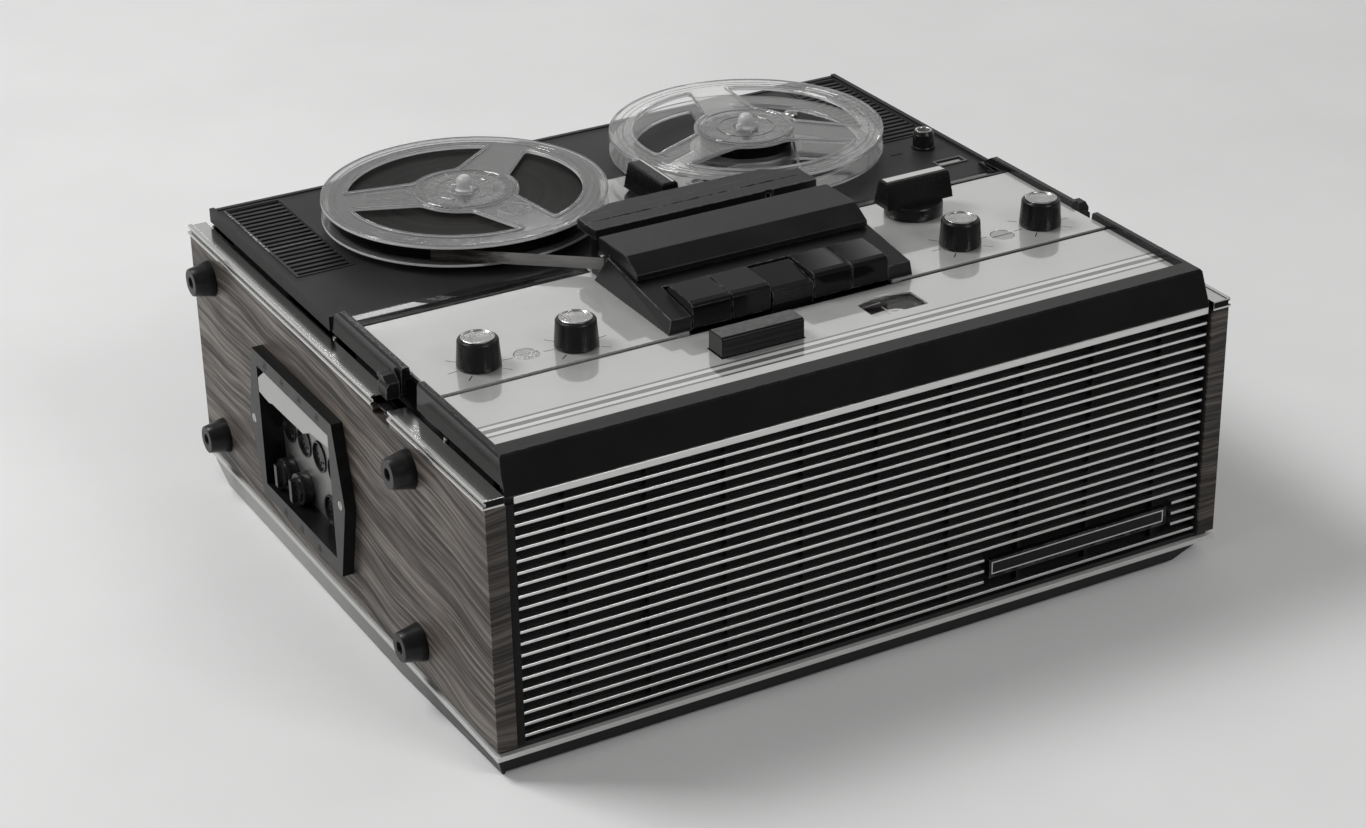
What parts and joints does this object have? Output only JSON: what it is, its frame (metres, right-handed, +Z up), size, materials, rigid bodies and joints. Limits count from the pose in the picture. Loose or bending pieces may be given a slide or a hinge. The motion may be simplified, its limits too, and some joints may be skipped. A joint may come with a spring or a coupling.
{
  "type": "reel to reel tape deck",
  "caption": "Portable reel to reel tape deck in a wooden case, with two reels on top, piano keys, a lift-off head hood, knobs, a level meter, a front grille and a side connector bay.",
  "frame": {"origin": "middle of the base, on the surface that the feet stand on", "axes": "+Z up; +X towards the right side seen from the grille; +Y towards the back, so the grille faces -Y"},
  "size_m": [0.422, 0.3524, 0.1763],
  "materials": {
    "wood_veneer": "satin veneer with open grain",
    "bright_trim": "bright drawn aluminium",
    "brushed_panel": "fine satin aluminium",
    "black_gloss": "gloss moulded plastic",
    "key_gloss": "polished plastic",
    "knob_black": "satin plastic",
    "deck_black": "fine textured plastic",
    "cover_black": "matt plastic",
    "grille_black": "matt plastic",
    "slat_bright": "bright edge on black",
    "base_grey": "matt paint",
    "foot_rubber": "moulded rubber",
    "bezel_grey": "satin plastic",
    "plate_grey": "satin paint",
    "socket_black": "moulded plastic",
    "bar_white": "smooth light plastic",
    "screw_steel": "turned and nickel plated",
    "head_metal": "machined",
    "chassis_steel": "zinc plated sheet",
    "motor_metal": "grey lacquer",
    "pulley_brass": "turned",
    "belt_rubber": "moulded rubber",
    "board_green": "laminate",
    "meter_white": "printed scale",
    "clear_window": "clear acrylic",
    "needle_pale": "thin pointer",
    "counter_dark": "moulded",
    "wheel_white": "moulded",
    "reel_frosted": "frosted grey plastic",
    "reel_clear": "clear plastic",
    "tape_brown": "wound coated film",
    "table_grey": "moulded table with spindle",
    "flywheel_steel": "turned",
    "speaker_black": "black paper and pressed steel"
  },
  "bodies": {
    "case": {"side_panel_left": "wood_veneer", "side_panel_right": "wood_veneer", "trims": "bright_trim", "base_pan": "base_grey", "feet": "foot_rubber", "rear_cover": "base_grey", "grille_frame": "grille_black", "grille_slats": "slat_bright", "badge_plate": "black_gloss", "loudspeakers": "speaker_black", "connector_bezel": "bezel_grey", "connector_plate": "plate_grey", "connector_sockets": "socket_black", "dummy_plugs": "socket_black", "connector_bar": "bar_white", "mains_inlet": "socket_black", "deck_plate": "deck_black", "bezel": "black_gloss", "panel_rear": "brushed_panel", "panel_front": "brushed_panel", "panel_screws": "screw_steel", "lid_latches": "cover_black", "head_cover_rear": "cover_black", "key_housing": "cover_black", "head_block": "head_metal", "tape_strand": "tape_brown", "chassis": "chassis_steel", "motor": "motor_metal", "drive_belt": "belt_rubber", "electronics": "board_green", "pots": "motor_metal", "meter_case": "meter_white", "meter_window": "clear_window", "counter_frame": "counter_dark"},
    "handle": {"handle": "knob_black"},
    "pinch_roller": {"pinch_roller": "belt_rubber"},
    "motor_pulley": {"motor_pulley": "pulley_brass"},
    "meter_needle": {"meter_needle": "needle_pale"},
    "counter_wheels": {"counter_wheels": "wheel_white"},
    "head_hood": {"head_hood": "cover_black"},
    "key_1": {"key_1": "key_gloss"},
    "key_2": {"key_2": "key_gloss"},
    "key_3": {"key_3": "key_gloss"},
    "key_4": {"key_4": "key_gloss"},
    "key_5": {"key_5": "key_gloss"},
    "power_key": {"power_key": "key_gloss"},
    "knob_1": {"knob_1": "knob_black"},
    "knob_2": {"knob_2": "knob_black"},
    "knob_3": {"knob_3": "knob_black"},
    "knob_4": {"knob_4": "knob_black"},
    "selector": {"selector": "knob_black"},
    "speed_knob": {"speed_knob": "knob_black"},
    "reset_knob": {"reset_knob": "knob_black"},
    "supply_table": {"supply_table": "table_grey"},
    "takeup_table": {"takeup_table": "table_grey"},
    "supply_reel": {"supply_reel": "reel_frosted", "supply_tape": "tape_brown"},
    "takeup_reel": {"takeup_reel": "reel_clear", "takeup_tape": "tape_brown"},
    "capstan_flywheel": {"capstan_flywheel": "flywheel_steel"}
  },
  "joints": [
    {"name": "handle_fold", "type": "hinge", "parent": "case", "child": "handle", "pos_m": [0.2055, 0, 0.108], "axis": [0, -1, 0], "range_deg": [0, 150]},
    {"name": "head_hood_lift", "type": "slide", "parent": "case", "child": "head_hood", "axis": [0, 0, 1], "range_m": [0, 0.03]},
    {"name": "key_1_press", "type": "hinge", "parent": "case", "child": "key_1", "pos_m": [0, -0.058, 0.16], "axis": [1, 0, 0], "range_deg": [0, 6.5], "stiffness_Nm_per_rad": 0.05, "springref_deg": -11.46},
    {"name": "key_2_press", "type": "hinge", "parent": "case", "child": "key_2", "pos_m": [0, -0.058, 0.16], "axis": [1, 0, 0], "range_deg": [0, 6.5], "stiffness_Nm_per_rad": 0.05, "springref_deg": -11.46},
    {"name": "key_4_press", "type": "hinge", "parent": "case", "child": "key_4", "pos_m": [0, -0.058, 0.16], "axis": [1, 0, 0], "range_deg": [0, 6.5], "stiffness_Nm_per_rad": 0.05, "springref_deg": -11.46},
    {"name": "key_5_press", "type": "hinge", "parent": "case", "child": "key_5", "pos_m": [0, -0.058, 0.16], "axis": [1, 0, 0], "range_deg": [0, 6.5], "stiffness_Nm_per_rad": 0.05, "springref_deg": -11.46},
    {"name": "key_3_press", "type": "hinge", "parent": "case", "child": "key_3", "pos_m": [0, -0.058, 0.16], "axis": [1, 0, 0], "range_deg": [-5.2, 1.3]},
    {"name": "power_key_press", "type": "slide", "parent": "case", "child": "power_key", "axis": [0, 0, -1], "range_m": [0, 0.003], "stiffness_N_per_m": 150, "springref_m": -0.002},
    {"name": "knob_1_turn", "type": "hinge", "parent": "case", "child": "knob_1", "pos_m": [-0.1543, -0.0774, 0.154], "axis": [0, 0, -1], "range_deg": [-150, 150]},
    {"name": "knob_2_turn", "type": "hinge", "parent": "case", "child": "knob_2", "pos_m": [-0.1062, -0.0814, 0.154], "axis": [0, 0, -1], "range_deg": [-150, 150]},
    {"name": "knob_3_turn", "type": "hinge", "parent": "case", "child": "knob_3", "pos_m": [0.1097, -0.0771, 0.154], "axis": [0, 0, -1], "range_deg": [-150, 150]},
    {"name": "knob_4_turn", "type": "hinge", "parent": "case", "child": "knob_4", "pos_m": [0.1581, -0.0768, 0.154], "axis": [0, 0, -1], "range_deg": [-150, 150]},
    {"name": "selector_turn", "type": "hinge", "parent": "case", "child": "selector", "pos_m": [0.1126, -0.0304, 0.154], "axis": [0, 0, -1], "range_deg": [-60, 60]},
    {"name": "speed_knob_turn", "type": "hinge", "parent": "case", "child": "speed_knob", "pos_m": [0.0072, 0.0518, 0.1497], "axis": [0, 0, 1], "range_deg": [0, 50]},
    {"name": "reset_knob_turn", "type": "hinge", "parent": "case", "child": "reset_knob", "pos_m": [0.172, 0.0504, 0.1497], "axis": [0, 0, -1], "continuous": true},
    {"name": "meter_needle_swing", "type": "hinge", "parent": "case", "child": "meter_needle", "pos_m": [0.043, -0.1296, 0.1472], "axis": [0, 0, -1], "range_deg": [-30, 30], "stiffness_Nm_per_rad": 0.00002},
    {"name": "supply_table_spin", "type": "hinge", "parent": "case", "child": "supply_table", "pos_m": [-0.0802, 0.0925, 0.1497], "axis": [0, 0, -1], "continuous": true},
    {"name": "takeup_table_spin", "type": "hinge", "parent": "case", "child": "takeup_table", "pos_m": [0.0862, 0.0925, 0.1497], "axis": [0, 0, -1], "continuous": true},
    {"name": "supply_reel_lift", "type": "slide", "parent": "supply_table", "child": "supply_reel", "axis": [0, 0, 1], "range_m": [0, 0.03], "deforming": ["tape_strand"]},
    {"name": "takeup_reel_lift", "type": "slide", "parent": "takeup_table", "child": "takeup_reel", "axis": [0, 0, 1], "range_m": [0, 0.03], "deforming": ["tape_strand"]},
    {"name": "counter_spin", "type": "hinge", "parent": "case", "child": "counter_wheels", "pos_m": [0.172, 0.0255, 0.1381], "axis": [1, 0, 0], "continuous": true},
    {"name": "capstan_spin", "type": "hinge", "parent": "case", "child": "capstan_flywheel", "pos_m": [0.038, -0.0144, 0.12], "axis": [0, 0, 1], "continuous": true},
    {"name": "motor_spin", "type": "hinge", "parent": "case", "child": "motor_pulley", "pos_m": [0.01, 0.12, 0.11], "axis": [0, 0, 1], "continuous": true},
    {"name": "pinch_roller_spin", "type": "hinge", "parent": "case", "child": "pinch_roller", "pos_m": [0.038, -0.0234, 0.159], "axis": [0, 0, 1], "continuous": true}
  ],
  "couplings": [
    {"joint": "motor_spin", "follows": "capstan_spin", "ratio": 4.75},
    {"joint": "pinch_roller_spin", "follows": "capstan_spin", "ratio": -0.3333},
    {"joint": "counter_spin", "follows": "takeup_table_spin", "ratio": 0.1}
  ]
}
